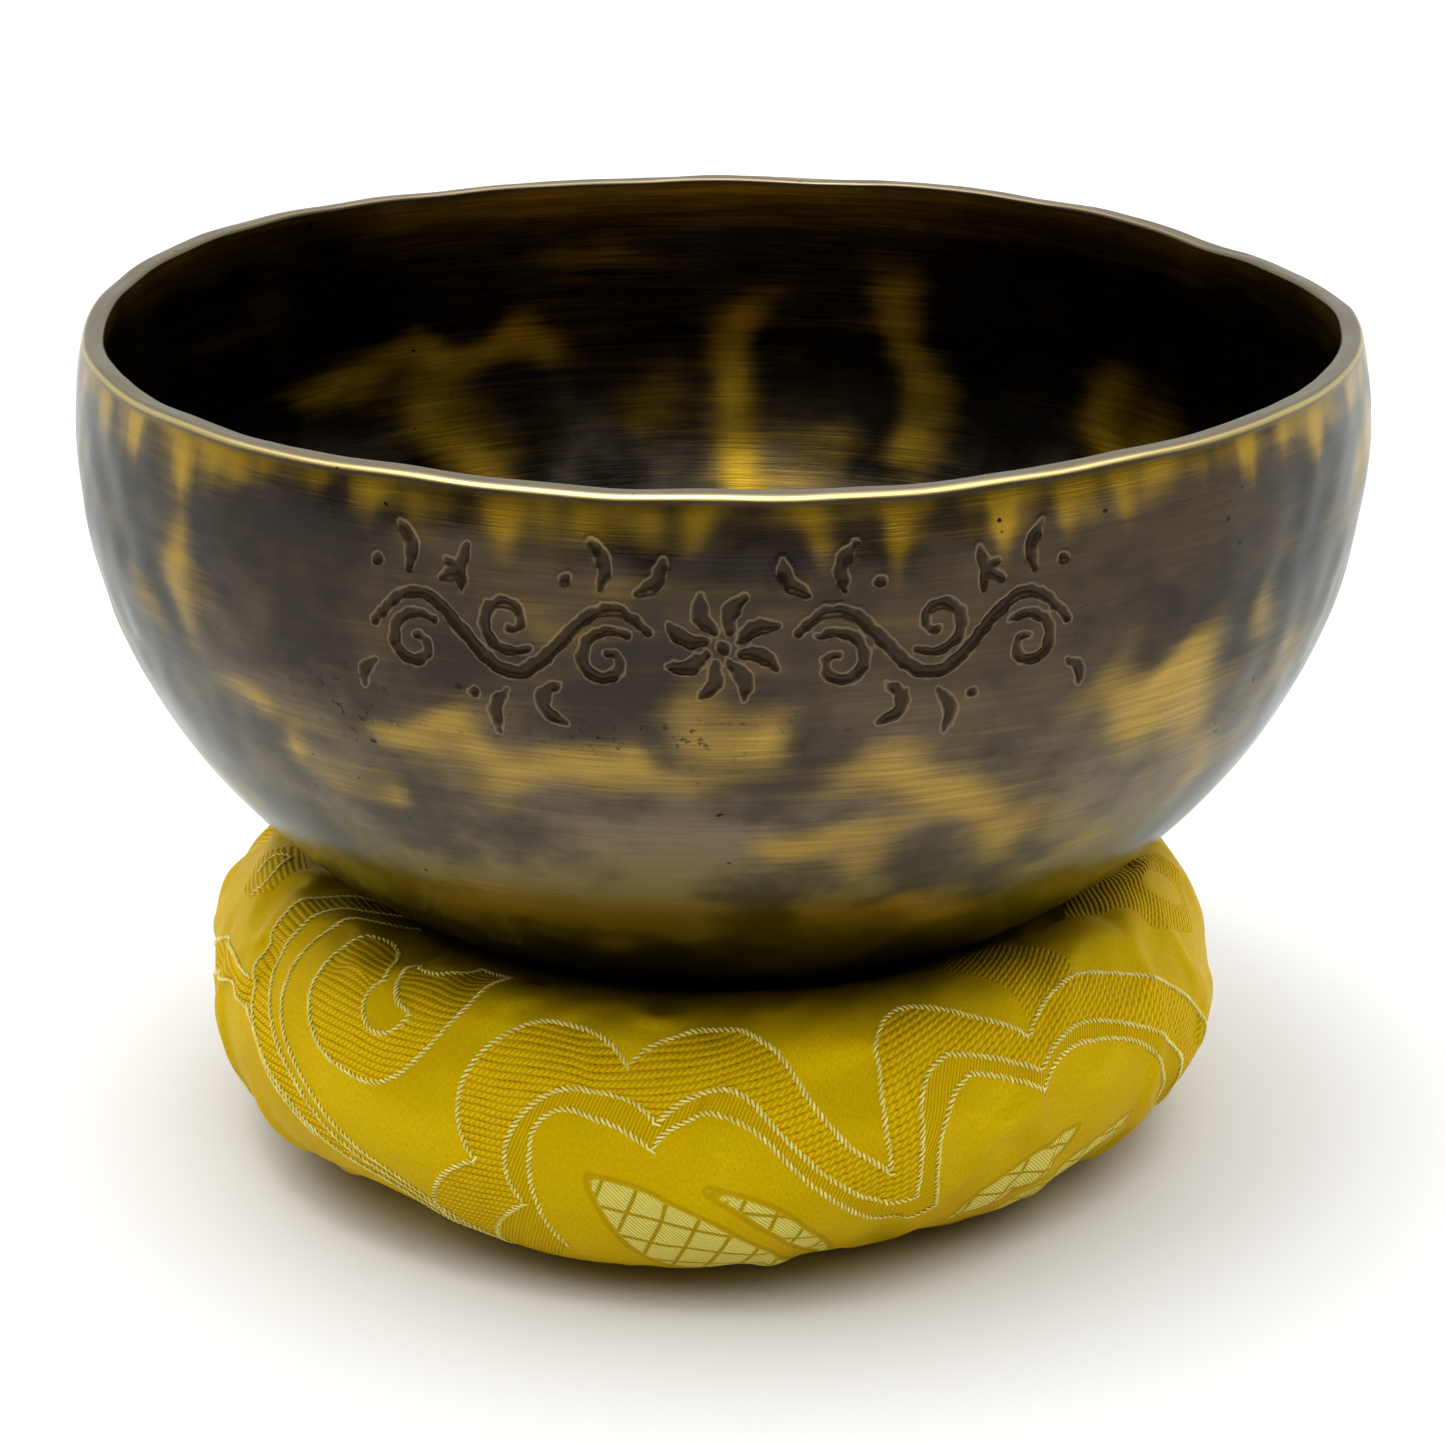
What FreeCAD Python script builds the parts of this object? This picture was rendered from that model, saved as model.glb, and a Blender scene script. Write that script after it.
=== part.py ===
"""Singing bowl resting on its ring cushion.

Frame: +Z up, origin on the floor at the middle of the cushion's underside, front towards -Y.
Lengths are millimetres and angles are degrees. The bowl, the cushion's cover and its filling are
turned about the Z axis from outlines in the XZ half plane. An outline is a chain of arcs that meet
tangent to tangent. Each arc is given by its radius and the heading that it turns to, where 0 is
outward, 90 is up and 180 is inward.
"""
import FreeCAD, Part
import math
import os

# Bowl: one hammered sheet of bronze with a thickened lip
BOWL_BOTTOM_Z = 30.0            # height of its underside above the floor
BOWL_FLAT_RADIUS = 19.8         # flat middle of the underside
BOWL_ARCS = [(58.0, 32.0), (76.0, 62.0), (65.5, 102.5)]     # radius, heading at its end
WALL = 2.2
LIP_SWELL = 2.8                 # the inner face's last arc is this much tighter, so the lip is thick
LIP_OUTER_ROUND = 1.1
LIP_INNER_ROUND = 0.6

# Cushion: a ring of fibre sewn into a strip of brocade
SEAT_CLEARANCE = 0.35
SEAT_INNER_HEADING = 14.0       # the seat follows the bowl between these two headings
SEAT_OUTER_HEADING = 33.0
HOLE_RADIUS = 21.0
CREST_ROUND = 6.2               # roll of fabric at the seat's outer edge
GIRTH_RADIUS = 70.3
GIRTH_Z = 21.0
CREST_TURN = 48.0               # share of the quarter from crest to girth that its first arc makes
FLOOR_OUTER_RADIUS = 46.0       # the cushion lies flat on the floor between these two radii
FLOOR_INNER_RADIUS = 34.0
FLOOR_TURN = 46.0               # the same for the quarter from girth to floor
COVER_THICKNESS = 1.0           # brocade with its turned hems
FILLING_GAP = 0.2

# Sewing: whip stitches, each a closed loop of thread through both edges
THREAD_RADIUS = 0.22
NEEDLE_HOLE_RADIUS = 0.28
LOOP_RADIUS = 1.2
LOOP_SLANT = 25.0
SLIT_WIDTH = 0.5
THREAD_POCKET = 1.9             # radius of the hollow that the fibre leaves around the thread
HEM_STITCHES = 28
HEM_HEADING = 135.0             # the long edges meet where the hole's lower corner has this heading
END_SEAM_AZIMUTH = 135.0        # behind, to the left
END_SEAM_HEADINGS = [-155.0, -140.0, -125.0, -112.0, -100.0, -89.0, -76.0, -63.0, -50.0]

Y_AXIS = FreeCAD.Vector(0, 1, 0)
Z_AXIS = FreeCAD.Vector(0, 0, 1)
ORIGIN = FreeCAD.Vector(0, 0, 0)


def toward(heading):
    """Unit vector of a heading in the XZ plane."""
    angle = math.radians(heading)
    return FreeCAD.Vector(math.cos(angle), 0, math.sin(angle))


class Outline:
    """A chain of tangent arcs and straight runs in the XZ plane."""

    def __init__(self, radius, height, heading):
        self.end = FreeCAD.Vector(radius, 0, height)
        self.heading = heading
        self.edges = []
        self.arcs = []

    def line(self, radius, height):
        end = FreeCAD.Vector(radius, 0, height)
        self.edges.append(Part.LineSegment(self.end, end).toShape())
        self.end = end

    def rise(self, height):
        """Go straight on until the height is reached."""
        step = toward(self.heading) * ((height - self.end.z) / math.sin(math.radians(self.heading)))
        self.line(self.end.x + step.x, height)

    def arc(self, radius, heading):
        """Turn to the heading, to the left where it is larger than the present one."""
        side = 90.0 if heading > self.heading else -90.0
        centre = self.end + toward(self.heading + side) * radius
        middle = centre - toward((self.heading + heading) / 2 + side) * radius
        end = centre - toward(heading + side) * radius
        self.edges.append(Part.Arc(self.end, middle, end).toShape())
        self.arcs.append((centre, radius, self.heading, heading))
        self.end = end
        self.heading = heading

    def quarter(self, radius, height, first_turn):
        """Turn 90 degrees to the right, in two arcs that end at the given point."""
        run = FreeCAD.Vector(radius, 0, height) - self.end
        ahead = run.dot(toward(self.heading))
        aside = run.dot(toward(self.heading - 90))
        s = math.sin(math.radians(first_turn))
        c = math.cos(math.radians(first_turn))
        share = s * c - (1 - s) * (1 - c)
        goal = self.heading - 90
        self.arc((ahead * c - aside * (1 - s)) / share, self.heading - first_turn)
        self.arc((aside * s - ahead * (1 - c)) / share, goal)

    def point(self, heading):
        """Place on the chain where a right-hand arc has the heading."""
        for centre, radius, first, last in self.arcs:
            if last < first and last <= heading <= first:
                return centre - toward(heading - 90) * radius
        raise ValueError("no right-hand arc has heading %g" % heading)


def revolved(edges):
    """Solid of revolution about Z from a closed set of edges."""
    wire = Part.Wire(Part.__sortEdges__(edges))
    return Part.Face(wire).revolve(ORIGIN, Z_AXIS, 360)


def bowl_side(offset, swell):
    """One face of the bowl's wall from the axis up, offset from the outer face."""
    side = Outline(0, BOWL_BOTTOM_Z + offset, 0)
    side.line(BOWL_FLAT_RADIUS, BOWL_BOTTOM_Z + offset)
    for radius, heading in BOWL_ARCS:
        last = heading == BOWL_ARCS[-1][1]
        side.arc(radius - offset - (swell if last else 0), heading)
    return side


def make_bowl():
    outer = bowl_side(0, 0)
    outer.arc(LIP_OUTER_ROUND, 180)
    lip_z = outer.end.z
    inner = bowl_side(WALL, LIP_SWELL)
    inner.rise(lip_z - LIP_INNER_ROUND * (1 - math.cos(math.radians(inner.heading))))
    inner.arc(LIP_INNER_ROUND, 0)
    inner.line(outer.end.x, lip_z)
    middle = Part.LineSegment(
        FreeCAD.Vector(0, 0, BOWL_BOTTOM_Z), FreeCAD.Vector(0, 0, BOWL_BOTTOM_Z + WALL)
    )
    return revolved(outer.edges + inner.edges + [middle.toShape()])


def cushion_outline(depth):
    """Cross-section of the cushion at a depth under its outside, from the seat's inner end around."""
    tilt = math.radians(SEAT_INNER_HEADING)
    first_radius, first_heading = BOWL_ARCS[0]
    second_radius = BOWL_ARCS[1][0]
    below = SEAT_CLEARANCE + depth
    middle = FreeCAD.Vector(BOWL_FLAT_RADIUS, 0, BOWL_BOTTOM_Z + first_radius)
    start = middle + toward(SEAT_INNER_HEADING - 90) * (first_radius + below)
    ring = Outline(start.x, start.z, SEAT_INNER_HEADING)
    ring.arc(first_radius + below, first_heading)
    ring.arc(second_radius + below, SEAT_OUTER_HEADING)
    ring.arc(CREST_ROUND - depth, 0)
    ring.quarter(GIRTH_RADIUS - depth, GIRTH_Z, CREST_TURN)
    ring.quarter(FLOOR_OUTER_RADIUS, depth, FLOOR_TURN)
    ring.line(FLOOR_INNER_RADIUS, depth)
    ring.arc(FLOOR_INNER_RADIUS - HOLE_RADIUS - depth, -270)
    shoulder = (start.x - HOLE_RADIUS - depth) / (1 - math.sin(tilt))
    ring.line(HOLE_RADIUS + depth, start.z - shoulder * math.cos(tilt))
    ring.arc(shoulder, SEAT_INNER_HEADING - 360)
    return ring


def seam_place(outline, heading):
    """Point at the middle of the cover's thickness, and the direction in which the cover faces."""
    outward = toward(heading + 90)
    return outline.point(heading) - outward * (COVER_THICKNESS / 2), outward


def hem_frames(outline):
    """Centre, facing direction and seam direction of each stitch where the long edges meet."""
    centre, outward = seam_place(outline, HEM_HEADING - 360)
    frames = []
    for index in range(HEM_STITCHES):
        turn = FreeCAD.Rotation(Z_AXIS, (index + 0.5) * 360 / HEM_STITCHES)
        frames.append((turn.multVec(centre), turn.multVec(outward), turn.multVec(Y_AXIS)))
    return frames


def end_frames(outline):
    """The same where the two ends of the strip meet."""
    turn = FreeCAD.Rotation(Z_AXIS, END_SEAM_AZIMUTH)
    frames = []
    for heading in END_SEAM_HEADINGS:
        centre, outward = seam_place(outline, heading)
        frames.append((turn.multVec(centre), turn.multVec(outward), turn.multVec(toward(heading))))
    return frames


def thread_loops(frames, thread_radius):
    """Closed rings of thread across a seam, each slanted a little along it."""
    rings = []
    for centre, outward, along in frames:
        slanted = FreeCAD.Rotation(outward, LOOP_SLANT).multVec(along)
        rings.append(Part.makeTorus(LOOP_RADIUS, thread_radius, centre, slanted))
    return Part.makeCompound(rings)


def hem_slit(outline):
    """Thin ring that parts the long edges of the strip."""
    centre, outward = seam_place(outline, HEM_HEADING - 360)
    across = toward(HEM_HEADING) * (SLIT_WIDTH / 2)
    reach = outward * COVER_THICKNESS
    corners = [centre + reach + across, centre + reach - across]
    corners += [centre - reach - across, centre - reach + across]
    return Part.Face(Part.makePolygon(corners + corners[:1])).revolve(ORIGIN, Z_AXIS, 360)


def end_slit():
    """Thin radial slab that parts the two ends of the strip."""
    corner = FreeCAD.Vector(0, -SLIT_WIDTH / 2, -GIRTH_Z)
    slab = Part.makeBox(2 * GIRTH_RADIUS, SLIT_WIDTH, 4 * GIRTH_Z, corner)
    slab.rotate(ORIGIN, Z_AXIS, END_SEAM_AZIMUTH)
    return slab


def make_cover():
    outline = cushion_outline(0)
    cover = revolved(outline.edges).cut(revolved(cushion_outline(COVER_THICKNESS).edges))
    cover = cover.cut(hem_slit(outline)).cut(end_slit())
    return cover.cut(thread_loops(hem_frames(outline) + end_frames(outline), NEEDLE_HOLE_RADIUS))


def make_filling():
    """The fibre, with a hollow under each seam where it gives way to the thread."""
    outline = cushion_outline(0)
    filling = revolved(cushion_outline(COVER_THICKNESS + FILLING_GAP).edges)
    centre, outward = seam_place(outline, HEM_HEADING - 360)
    middle = FreeCAD.Vector(0, 0, centre.z)
    filling = filling.cut(Part.makeTorus(centre.x, THREAD_POCKET, middle, Z_AXIS))
    hollows = [Part.makeSphere(THREAD_POCKET, place) for place, facing, along in end_frames(outline)]
    return filling.cut(Part.makeCompound(hollows))


def export(name, shape):
    """One STEP file, with its solids side by side where the node is a group of them."""
    solids = shape.Solids
    kept = solids[0] if len(solids) == 1 else Part.makeCompound(solids)
    kept.exportStep("parts/%s.step" % name)
    print("%-18s solids %2d, volume %.0f mm3, valid %s" % (name, len(solids), kept.Volume, kept.isValid()))


os.makedirs("parts", exist_ok=True)
sewn_outline = cushion_outline(0)
export("bowl", make_bowl())
export("brocade_cover", make_cover())
export("filling_ring", make_filling())
export("hem_stitches", thread_loops(hem_frames(sewn_outline), THREAD_RADIUS))
export("end_seam_stitches", thread_loops(end_frames(sewn_outline), THREAD_RADIUS))
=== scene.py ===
"""Looks of the singing bowl and its ring cushion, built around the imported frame.

All sizes in the constants are millimetres unless a comment says otherwise; MM turns them into metres.
Places on the object are given by a turn angle (degrees, 0 at the front, positive to the right) and
a height or a distance along the surface.
"""
import math

import bmesh
import bpy
import numpy as np
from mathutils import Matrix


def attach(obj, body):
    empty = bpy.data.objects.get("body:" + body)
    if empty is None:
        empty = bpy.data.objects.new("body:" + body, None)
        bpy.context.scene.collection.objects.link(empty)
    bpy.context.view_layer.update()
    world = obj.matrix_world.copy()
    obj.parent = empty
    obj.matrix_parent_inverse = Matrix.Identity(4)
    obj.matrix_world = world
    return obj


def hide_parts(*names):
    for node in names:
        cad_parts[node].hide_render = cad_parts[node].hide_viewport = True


MM = 0.001
TAU = 2 * math.pi

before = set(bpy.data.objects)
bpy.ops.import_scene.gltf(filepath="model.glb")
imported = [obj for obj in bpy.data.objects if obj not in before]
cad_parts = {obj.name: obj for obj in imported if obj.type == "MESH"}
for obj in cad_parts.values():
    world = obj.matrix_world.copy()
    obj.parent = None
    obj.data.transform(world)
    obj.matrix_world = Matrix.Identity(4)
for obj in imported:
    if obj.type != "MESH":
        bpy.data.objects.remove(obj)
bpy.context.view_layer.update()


def add_object(name, data):
    thing = bpy.data.objects.new(name, data)
    bpy.context.scene.collection.objects.link(thing)
    return thing


# ---- camera, floor and light

CAMERA_DISTANCE = 500.0
CAMERA_ELEVATION = 20.85        # degrees
CAMERA_TARGET_Z = 54.8
CAMERA_LENS = 90.3
SENSOR_WIDTH = 36.0
# Brightness of the surroundings, as smooth ramps: where each starts and ends, as the sine of the angle,
# and the brightness at its ends. The first runs from the front to the back, the second up to the zenith.
HORIZON_RAMP = (-0.35, 0.50, 0.05, 0.90)
SKY_RAMP = (0.55, 0.95, 3.4)
BACKDROP = 1.0                  # brightness of the far wall as the camera sees it
FLOOR_SIZE = 8.0                # this and the lamp's numbers are metres and watts
KEY_PLACE = (-0.22, -0.15, 1.4)
KEY_AIM = (0, 0, 0.05)
KEY_SIZE = 0.6
KEY_POWER = 6.0


def make_camera():
    data = bpy.data.cameras.new("camera")
    data.lens = CAMERA_LENS
    data.sensor_width = SENSOR_WIDTH
    camera = add_object("camera", data)
    tilt = math.radians(CAMERA_ELEVATION)
    back = CAMERA_DISTANCE * math.cos(tilt) * MM
    camera.location = (0, -back, (CAMERA_TARGET_Z + CAMERA_DISTANCE * math.sin(tilt)) * MM)
    camera.rotation_euler = (math.pi / 2 - tilt, 0, 0)
    bpy.context.scene.camera = camera


def make_floor():
    bpy.ops.mesh.primitive_plane_add(size=FLOOR_SIZE)
    floor = bpy.context.object
    floor.name = "floor"
    m = Shader(bpy.data.materials.new("pale_floor"))
    pale = m.finish(Base_Color=(0.7, 0.7, 0.7), Roughness=0.9, Specular_IOR_Level=0.1)
    floor.data.materials.append(pale)


def make_key_light():
    data = bpy.data.lights.new("key", "AREA")
    data.shape = "RECTANGLE"
    data.size = data.size_y = KEY_SIZE
    data.energy = KEY_POWER
    lamp = add_object("key", data)
    lamp.location = KEY_PLACE
    away = [place - aim for place, aim in zip(KEY_PLACE, KEY_AIM)]
    lamp.rotation_euler = (math.atan2(math.hypot(away[0], away[1]), away[2]), 0,
                           math.atan2(away[0], -away[1]))


def make_surroundings():
    world = bpy.data.worlds.new("studio")
    m = Shader(world)
    _, back, up = m.split(m.add("ShaderNodeTexCoord", {}, "Generated"))
    low, high, zenith = SKY_RAMP
    bright = m.ramp(up, low, high, m.ramp(back, *HORIZON_RAMP), zenith)
    seen = m.add("ShaderNodeLightPath", {}, "Is Camera Ray")
    strength = m.add("ShaderNodeMix", {0: seen, 2: bright, 3: BACKDROP})
    m.finish(Color=(1.0, 1.0, 1.0), Strength=strength)
    bpy.context.scene.world = world
    bpy.context.scene.view_settings.view_transform = "Standard"


# ---- small tools


def ease(low, high, x):
    """0 below low, 1 above high, and a smooth step between them."""
    t = np.clip((x - low) / (high - low), 0, 1)
    return t * t * (3 - 2 * t)


def apart(turn, degrees):
    """Angle from a place on the ring, between minus and plus half a turn."""
    return (turn - math.radians(degrees) + math.pi) % TAU - math.pi


def ripples(turn, along, girth, shortest, longest, count, seed):
    """Smooth noise of unit strength on a ring: a sum of waves that close around the turn."""
    rng = np.random.default_rng(seed)
    total = np.zeros(np.broadcast(turn, along).shape)
    for _ in range(count):
        length = shortest * (longest / shortest) ** rng.random()
        lean = rng.uniform(0, TAU)
        around = round(girth / length * math.cos(lean))
        up = TAU / length * math.sin(lean)
        total = total + np.cos(around * turn + up * along + rng.uniform(0, TAU))
    return total / math.sqrt(count / 2)


def tangent_arcs(start, heading, arcs, step):
    """Points, about a step apart, on a chain of tangent arcs (radius, heading at its end)."""
    points = [start]
    for radius, goal in arcs:
        side = math.radians(90.0 if goal > heading else -90.0)
        first, last = math.radians(heading), math.radians(goal)
        centre = (points[-1][0] + radius * math.cos(first + side),
                  points[-1][1] + radius * math.sin(first + side))
        count = max(2, int(abs(last - first) * radius / step))
        for k in range(1, count + 1):
            now = first + (last - first) * k / count + side
            points.append((centre[0] - radius * math.cos(now), centre[1] - radius * math.sin(now)))
        heading = goal
    return points


def distances(points):
    """Distance along a row of points, from its first."""
    return np.concatenate([[0], np.cumsum(np.hypot(*np.diff(points, axis=0).T))])


def along_outline(outline, along, s):
    """Radius, height and unit direction of an outline at distances along it."""
    slope = np.gradient(outline, along, axis=0)
    place, lean = (np.stack([np.interp(s, along, pair[:, k]) for k in (0, 1)]) for pair in (outline, slope))
    return place[0], place[1], lean / np.hypot(*lean)


def build_mesh(name, points, faces):
    mesh = bpy.data.meshes.new(name)
    mesh.from_pydata(points.tolist(), [], faces)
    mesh.polygons.foreach_set("use_smooth", [True] * len(mesh.polygons))
    mesh.update()
    return add_object(name, mesh)


def add_layer(piece, name, values):
    """A number or a vector at every vertex, which the materials read by name."""
    values = np.asarray(values, dtype=np.float32)
    if values.ndim == 1:
        layer = piece.data.attributes.new(name, "FLOAT", "POINT")
        layer.data.foreach_set("value", values)
    else:
        layer = piece.data.attributes.new(name, "FLOAT_VECTOR", "POINT")
        layer.data.foreach_set("vector", values.ravel())


def ring_faces(rows, columns, closed=False):
    """Quads of a grid whose columns close into a ring, and whose rows do too where closed is set."""
    row = np.arange(rows if closed else rows - 1)[:, None]
    low, high = row * columns, (row + 1) % rows * columns
    here = np.arange(columns)[None, :]
    there = (here + 1) % columns
    return np.stack([low + here, low + there, high + there, high + here], axis=-1).reshape(-1, 4).tolist()


def turn_of(x, y):
    """Angle about Z from the front (-Y), positive towards +X."""
    return np.arctan2(x, -y)


def on_ring(radius, z, turn):
    return np.stack([radius * np.sin(turn), -radius * np.cos(turn), z + 0 * turn], axis=-1)


# ---- bowl

BOWL_BOTTOM_Z = 30.0
BOWL_FLAT_RADIUS = 19.8
BOWL_ARCS = [(58.0, 32.0), (76.0, 62.0), (65.5, 102.5)]     # radius, heading at its end
WALL = 2.2
LIP_SWELL = 2.8
LIP_OUTER_ROUND = 1.1
LIP_INNER_ROUND = 0.6
BOWL_RADIUS = 85.0
BOWL_GIRTH = TAU * BOWL_RADIUS
LIP_Z = 113.0
BOWL_COLUMNS = 360
BOWL_STEP = 1.5                 # along the outside; the inside and the underside's middle are coarser
CARVED_TURN = 34                # the finely divided patch on the front reaches this far to each side
CARVED_Z = (80.0, 111.5)
CARVED_CUTS = 4
# Where the lip stands higher or is bent in: turn in degrees, upward, outward, half width in degrees.
LIP_BENDS = [(-124, 1.1, 0.4, 24), (120, -1.2, -1.3, 16)]


def bowl_outline():
    """The section from the underside's middle over the lip to the inside's middle.

    Gives points (radius, height), distances along them, and the distances of the underside's edge, of
    both sides of the lip and of the edge of the inside's flat middle.
    """
    fine = 0.1
    outside = tangent_arcs((BOWL_FLAT_RADIUS, BOWL_BOTTOM_Z), 0, BOWL_ARCS, fine)
    heading = BOWL_ARCS[-1][1]
    over = tangent_arcs(outside[-1], heading, [(LIP_OUTER_ROUND, 180.0)], fine)[1:]
    lip_z = over[-1][1]
    inner_arcs = [(radius - WALL, goal) for radius, goal in BOWL_ARCS]
    inner_arcs[-1] = (inner_arcs[-1][0] - LIP_SWELL, heading)
    inside = tangent_arcs((BOWL_FLAT_RADIUS, BOWL_BOTTOM_Z + WALL), 0, inner_arcs, fine)
    lean = math.radians(heading)
    rise = lip_z - LIP_INNER_ROUND * (1 - math.cos(lean)) - inside[-1][1]
    inside.append((inside[-1][0] + rise / math.tan(lean), inside[-1][1] + rise))
    edge = tangent_arcs(inside[-1], heading, [(LIP_INNER_ROUND, 0.0)], fine)[1:]
    points = [(0, BOWL_BOTTOM_Z)] + outside + over + edge[::-1] + inside[::-1]
    points = np.array(points + [(0, BOWL_BOTTOM_Z + WALL)])
    along = distances(points)
    marks = np.cumsum([1, len(outside) - 1, len(over) + len(edge), len(inside)])
    return points, along, along[marks]


def bowl_rows(marks, end):
    """Distances along the outline at which the mesh has a ring of points."""
    foot, lip_start, lip_end, inner_foot = marks
    return np.concatenate([
        np.linspace(0, foot, 9)[1:],
        np.linspace(foot, lip_start, round((lip_start - foot) / BOWL_STEP) + 1)[1:],
        np.linspace(lip_start, lip_end, 16)[1:],
        np.linspace(lip_end, inner_foot, round((inner_foot - lip_end) / 2.1) + 1)[1:],
        np.linspace(inner_foot, end, 7)[1:-1],
    ])


def ring_mesh(rows, end, patch):
    """Points and faces of a cylinder, radius 1, whose height is the distance along the outline.

    The patch on its front is divided finely, and gets the carving.
    """
    turns = np.arange(BOWL_COLUMNS) * TAU / BOWL_COLUMNS
    points = [(math.cos(t), math.sin(t), s) for s in rows for t in turns]
    faces = ring_faces(len(rows), BOWL_COLUMNS)
    last = (len(rows) - 1) * BOWL_COLUMNS
    points += [(0, 0, 0), (0, 0, end)]
    for k in range(BOWL_COLUMNS):
        after = (k + 1) % BOWL_COLUMNS
        faces.append((len(points) - 2, after, k))
        faces.append((len(points) - 1, last + k, last + after))
    mesh = bpy.data.meshes.new("bowl")
    mesh.from_pydata(points, [], faces)
    work = bmesh.new()
    work.from_mesh(mesh)
    half_turn, low, high = patch
    inside = {v for v in work.verts if low < v.co.z < high and abs(turn_of(v.co.x, v.co.y)) < half_turn}
    edges = [e for e in work.edges if e.verts[0] in inside and e.verts[1] in inside]
    bmesh.ops.subdivide_edges(work, edges=edges, cuts=CARVED_CUTS, use_grid_fill=True)
    work.verts.index_update()
    places = np.array([v.co for v in work.verts])
    faces = [[v.index for v in f.verts] for f in work.faces]
    work.free()
    bpy.data.meshes.remove(mesh)
    return places, faces


# Burnished places where the patina is worn to bright metal: turn in degrees, height, half width along the
# turn, half height, strength. A negative strength keeps a place dark.
WORN_OUTSIDE = [
    (-49, 95, 4, 8, .8), (-57, 88, 4, 5, .5), (-74, 84, 6, 7, .5), (-43, 81, 5, 1.8, .8),
    (-37, 77, 4.5, 3.5, .9), (-31, 72, 4.5, 3.5, .8), (-25, 82, 8, 2.5, .7), (-17, 79, 9, 4, .9),
    (-9, 81, 6, 3.5, .7), (3, 84, 6, 5, .9), (-3, 78, 7, 2.5, .5), (8, 69, 9, 3.2, 1.1), (13, 79, 7, 3, .8),
    (20, 75, 8, 4.5, 1.1), (26, 68, 9, 3.5, .9), (35, 86, 7, 4, .8), (40, 81, 8, 6.5, 1.1),
    (48, 71, 8, 4, .8), (52, 91, 5, 7, .7), (60, 80, 7, 7, .6), (-12, 49, 6, 2.6, 1), (-28, 56, 12, 4, .5),
    (20, 54, 8, 3, .8), (4, 47, 7, 2, .5), (36, 60, 9, 3, .7), (5, 104, 9, 3, .2), (-12, 100, 12, 4, .25),
    (-60, 60, 9, 4, .6), (70, 97, 8, 5, .5), (-35, 101, 7, 3.5, -.5), (-26, 91, 7, 4, -.5),
    (14, 106, 8, 3, -.6), (46, 100, 9, 6, -.8), (27, 94, 9, 6, -.5), (-8, 68, 14, 6, -.4),
    (-14, 92, 9, 6, -.3),
]
WORN_INSIDE = [
    (-147, 88, 16, 2.6, 1), (-135, 86, 9, 3, .8), (-158, 88, 9, 3, .7), (-148, 79, 6, 6, 1),
    (-151, 71, 6, 5, .8), (178, 88, 5, 7, .9), (177, 78, 6, 7, 1.1), (178, 68, 9, 6, 1), (160, 92, 7, 6, 1),
    (156, 83, 5, 6, .9), (158, 73, 6, 6, .9), (133, 84, 6, 4, .8), (128, 81, 9, 3.5, .9),
    (-129, 104, 9, 5, .3), (-167, 102, 8, 5, .3), (122, 109, 9, 5, .3), (-171, 79, 6, 5, .5),
    (168, 70, 5, 6, .4), (-100, 85, 10, 6, .5), (95, 90, 9, 6, .5), (-30, 80, 12, 8, .8),
    (25, 90, 14, 6, .8), (60, 75, 10, 8, .8), (-65, 95, 9, 7, .7),
]


def worn_field(spots, turn, z, seed):
    """About 1 where the metal is bright, 0 where the patina is whole. Edges wander with some noise."""
    shift = 2.4 * ripples(turn, z, BOWL_GIRTH, 14, 40, 24, seed)
    lift = 1.4 * ripples(turn, z, BOWL_GIRTH, 12, 32, 24, seed + 1)
    field = np.zeros_like(turn)
    for degrees, height, wide, tall, strength in spots:
        beside = BOWL_RADIUS * apart(turn, degrees) + shift
        field += strength * np.exp(-(beside / wide) ** 2 - ((z - height + lift) / tall) ** 2)
    return field


def hammered(turn, level, z):
    """Dents of the wall, in mm. The lip and the underside are smoother."""
    upper = ease(58, 84, z)
    dents = 0.10 * upper * ripples(turn, level, BOWL_GIRTH, 16, 48, 40, 3)
    dents += 0.05 * upper * ripples(turn, level, BOWL_GIRTH, 6, 14, 50, 4)
    dents *= 1 - 0.7 * ease(100, 112, z)
    return dents + (1 - upper) * 0.04 * ripples(turn, level, BOWL_GIRTH, 9, 30, 30, 5)


def bent(turn, z):
    """How far the wall leans outward and the lip stands higher than on a true round, in mm."""
    sway = 0.30 * ease(60, LIP_Z, z) * ripples(turn, 0, BOWL_GIRTH, 60, 260, 10, 6)
    rise = ease(95, LIP_Z, z) * (0.22 * ripples(turn, 0, BOWL_GIRTH, 60, 260, 12, 8))
    rise += ease(107, LIP_Z, z) * 0.12 * ripples(turn, 0, BOWL_GIRTH, 16, 50, 20, 9)
    for degrees, up, out, wide in LIP_BENDS:
        bend = np.exp(-(apart(turn, degrees) / math.radians(wide)) ** 2)
        rise += up * bend * ease(85, LIP_Z, z)
        sway += out * bend * ease(70, LIP_Z, z)
    return sway, rise


def carving(stroke):
    """Height of the surface, in mm, at a distance from a stroke's edge: the cut and a burr beside it."""
    cut = -CARVED_DEPTH * np.clip(0.15 - stroke / 0.6, 0, 1) ** 0.8
    return cut + 0.05 * np.exp(-((stroke - 0.18) / 0.18) ** 2)


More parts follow.
